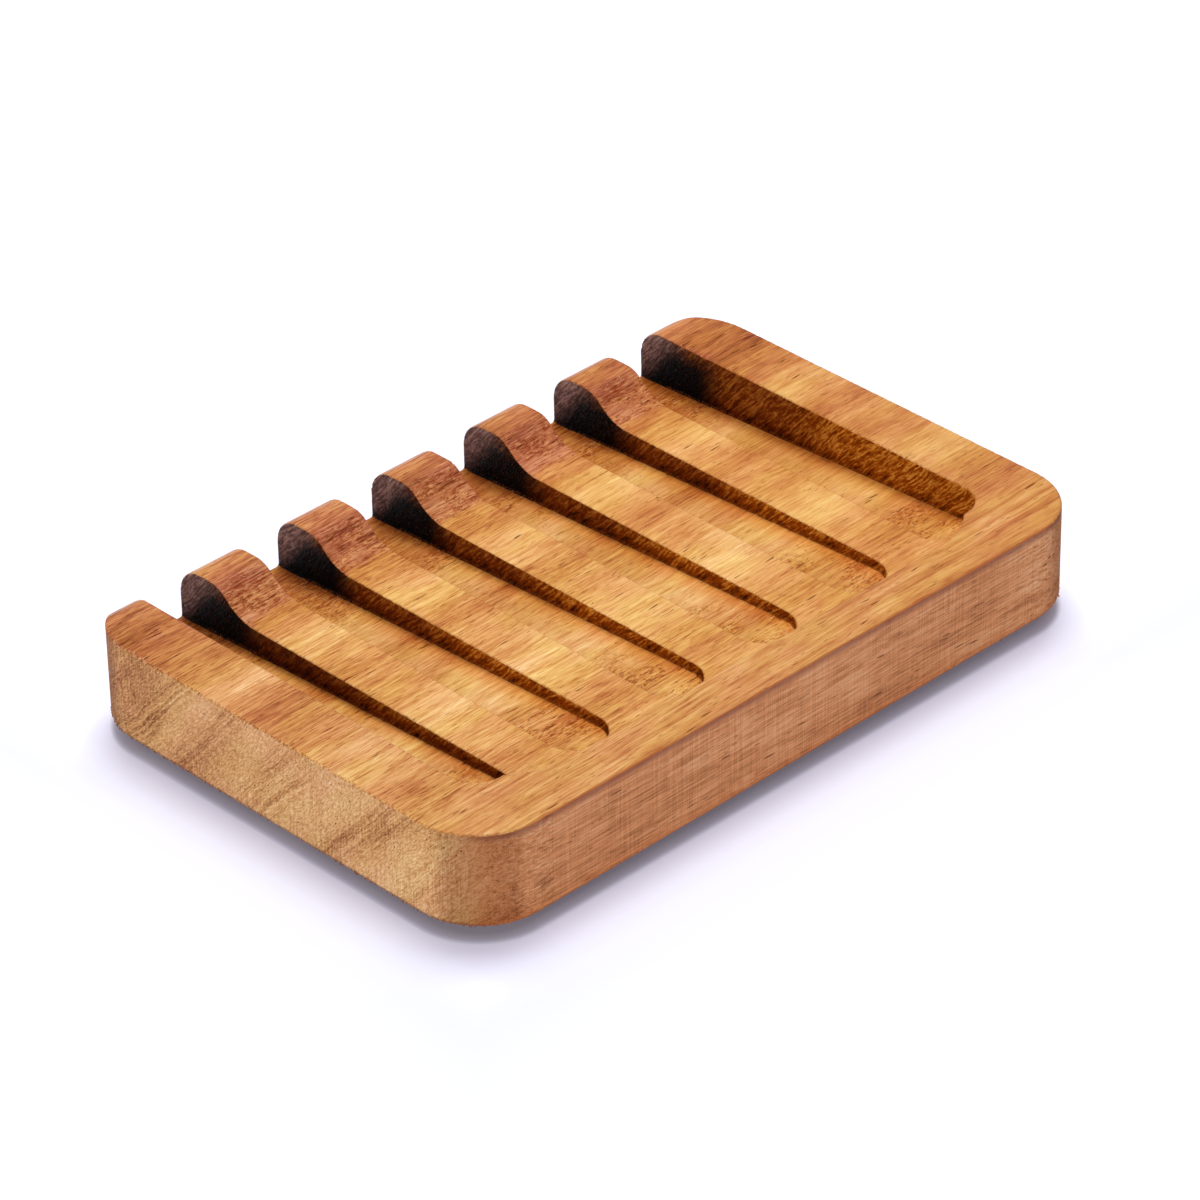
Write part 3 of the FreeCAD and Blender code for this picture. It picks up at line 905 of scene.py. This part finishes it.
studio = {
    "floorSize": 6.0,
    "floorTone": (0.9, 0.89, 0.92, 1),
    "seenTone": (0.77, 0.82, 0.92, 1),  # the floor as the camera sees it
    "floorLift": 0.34,  # what the camera sees the floor brighter by, so that it ends white
    "liftTone": (0.79, 0.74, 1.0, 1),
    # painted shadow before the front and left sides: distance from the dish in mm, and how bright the floor is there
    "paintedFloorShadow": [(0, 1.0), (3, 1.0), (8, 0.9), (12, 0.88), (22, 0.92), (40, 1.0)],
    "outlineRadius": 0.012,
    # the same painted shadow under the plank's edges, where the distance from its outline is below zero
    "gap": [(-2.4, 0.36), (-1.0, 0.49), (-0.5, 0.58), (0.0, 0.78), (0.5, 1.0)],
    "whiteFrom": 0.2,  # how far from the middle the floor starts to turn plain white, and is
    "whiteBy": 0.45,
    "worldTone": (0.97, 0.96, 1.0, 1),
    "worldLight": 0.3,
    "lampTone": (1.0, 0.985, 0.96),
    "lampAim": (0, 0, 0.01),
    "keyPlace": (0.17, 0.16, 0.84),
    "keySize": 0.42,
    "keyPower": 6.1,
    "fillPlace": (-0.86, -0.3, 0.22),
    "fillSize": 0.6,
    "fillPower": 3.6,
}


def shareAt(tree, distance, stops):  # how much light is left at a distance in metres; the stops are in millimetres
    first, last = stops[0][0], stops[-1][0]
    along = calc(tree, "DIVIDE", calc(tree, "SUBTRACT", distance, first * mm), (last - first) * mm)
    return toneRamp(tree, along, [((place - first) / (last - first), (share, share, share, 1))
                                  for place, share in stops])


def seenDirectly(tree, path):  # rays that show the surroundings themselves
    direct = calc(tree, "MAXIMUM", path.outputs["Is Camera Ray"], path.outputs["Is Glossy Ray"])
    return calc(tree, "MAXIMUM", direct, path.outputs["Is Transmission Ray"])


def makeFloor():
    half = studio["floorSize"] / 2
    mesh = bpy.data.meshes.new("floor")
    mesh.from_pydata([(-half, -half, 0), (half, -half, 0), (half, half, 0), (-half, half, 0)], [], [(0, 1, 2, 3)])
    floor = bpy.data.objects.new("floor", mesh)
    bench.objects.link(floor)
    material, tree = newMaterial("whiteFloor")
    bright = node(tree, "ShaderNodeAddShader")
    feed(tree, bright.inputs[0], surface(tree, "ShaderNodeBsdfDiffuse", Color=studio["seenTone"]))
    feed(tree, bright.inputs[1], surface(tree, "ShaderNodeEmission", Color=studio["liftTone"],
                                         Strength=studio["floorLift"]))
    where = node(tree, "ShaderNodeTexCoord").outputs["Object"]
    x, y, z = separate(tree, where)
    away = calc(tree, "MAXIMUM", calc(tree, "SUBTRACT", dishLow[0], x), calc(tree, "SUBTRACT", dishLow[1], y))
    rounded = studio["outlineRadius"]
    inner = (dishHigh[0] - rounded, dishHigh[1] - rounded, 0)
    past = vector(tree, "MAXIMUM", vector(tree, "SUBTRACT", vector(tree, "ABSOLUTE", where), inner), (0, 0, 0))
    outline = calc(tree, "SUBTRACT", vector(tree, "LENGTH", past), rounded)
    # painted shadow: the floor darkens near the plank and under its edges
    left = product(tree, shareAt(tree, away, studio["paintedFloorShadow"]), shareAt(tree, outline, studio["gap"]))
    dark = surface(tree, "ShaderNodeBsdfDiffuse", Color=(0, 0, 0, 1))
    seen = mixShaders(tree, calc(tree, "SUBTRACT", 1.0, left), bright.outputs[0], dark)
    farAway = ramp(tree, vector(tree, "LENGTH", where), studio["whiteFrom"], studio["whiteBy"])
    backdrop = mixShaders(tree, farAway, seen, surface(tree, "ShaderNodeEmission", Color=(1, 1, 1, 1)))
    path = node(tree, "ShaderNodeLightPath")
    matt = surface(tree, "ShaderNodeBsdfDiffuse", Color=studio["floorTone"])
    fromAbove = mixShaders(tree, seenDirectly(tree, path), matt, backdrop)
    # from underneath the floor lets the camera through, so the feet can be looked at
    under = product(tree, path.outputs["Is Camera Ray"],
                 node(tree, "ShaderNodeNewGeometry").outputs["Backfacing"])
    show(tree, mixShaders(tree, under, fromAbove, surface(tree, "ShaderNodeBsdfTransparent")))
    mesh.materials.append(material)


def makeWorld():
    world = bpy.data.worlds.new("studio")
    world.use_nodes = True
    tree = world.node_tree
    tree.nodes.clear()
    direct = seenDirectly(tree, node(tree, "ShaderNodeLightPath"))
    strength = calc(tree, "MULTIPLY_ADD", direct, 1 - studio["worldLight"], studio["worldLight"])
    sky = surface(tree, "ShaderNodeBackground", Color=studio["worldTone"], Strength=strength)
    show(tree, sky, "ShaderNodeOutputWorld")
    bpy.context.scene.world = world


def makeLamp(name):
    lamp = bpy.data.lights.new(name, "AREA")
    lamp.size = studio[name + "Size"]
    lamp.energy = studio[name + "Power"]
    lamp.color = studio["lampTone"]
    holder = bpy.data.objects.new(name, lamp)
    bench.objects.link(holder)
    holder.location = studio[name + "Place"]
    towards = Vector(studio["lampAim"]) - Vector(studio[name + "Place"])
    holder.rotation_mode = "QUATERNION"
    holder.rotation_quaternion = towards.to_track_quat("-Z", "Y")


# camera, worked out from the corners and edges of the dish in the photograph

camera = {
    "focal": 5990.9,  # in pixels of the 1200 pixel wide frame
    "frameWidth": 1200,
    "azimuth": -43.982,
    "elevation": 33.071,
    "roll": -1.042,
    "distance": 0.91027,
    "originAt": (591.75, 662.02),  # where the origin lies in the frame
    "sensor": 36.0,
    "nearest": 0.01,
    "farthest": 20.0,
}


def makeCamera():
    azimuth = math.radians(camera["azimuth"])
    elevation = math.radians(camera["elevation"])
    roll = math.radians(camera["roll"])
    back = Vector((
        math.sin(azimuth) * math.cos(elevation),
        -math.cos(azimuth) * math.cos(elevation),
        math.sin(elevation),
    ))
    level = Vector((0, 0, 1)).cross(back).normalized()
    upright = back.cross(level)
    right = level * math.cos(roll) + upright * math.sin(roll)
    up = upright * math.cos(roll) - level * math.sin(roll)
    perPixel = camera["distance"] / camera["focal"]
    offRight = (camera["originAt"][0] - camera["frameWidth"] / 2) * perPixel
    offUp = -(camera["originAt"][1] - camera["frameWidth"] / 2) * perPixel
    place = back * camera["distance"] - right * offRight - up * offUp
    lens = bpy.data.cameras.new("camera")
    lens.sensor_width = camera["sensor"]
    lens.lens = camera["focal"] * camera["sensor"] / camera["frameWidth"]
    lens.clip_start = camera["nearest"]
    lens.clip_end = camera["farthest"]
    viewer = bpy.data.objects.new("camera", lens)
    bench.objects.link(viewer)
    turned = Matrix((right, up, back)).transposed().to_4x4()
    viewer.matrix_world = Matrix.Translation(place) @ turned
    bpy.context.scene.camera = viewer


bpy.context.scene.view_settings.view_transform = "Standard"
makeCamera()
makeFloor()
makeWorld()
makeLamp("key")
makeLamp("fill")
print("studio done")
dish = makeDish(woodMaterial())
raised = fibreMaterial()
makeFibres("torn", dish, raised)
makeFibres("fuzz", dish, raised)
rubber = rubberMaterial()
for name in footNames:
    makeFoot(name, rubber)
print("feet done")
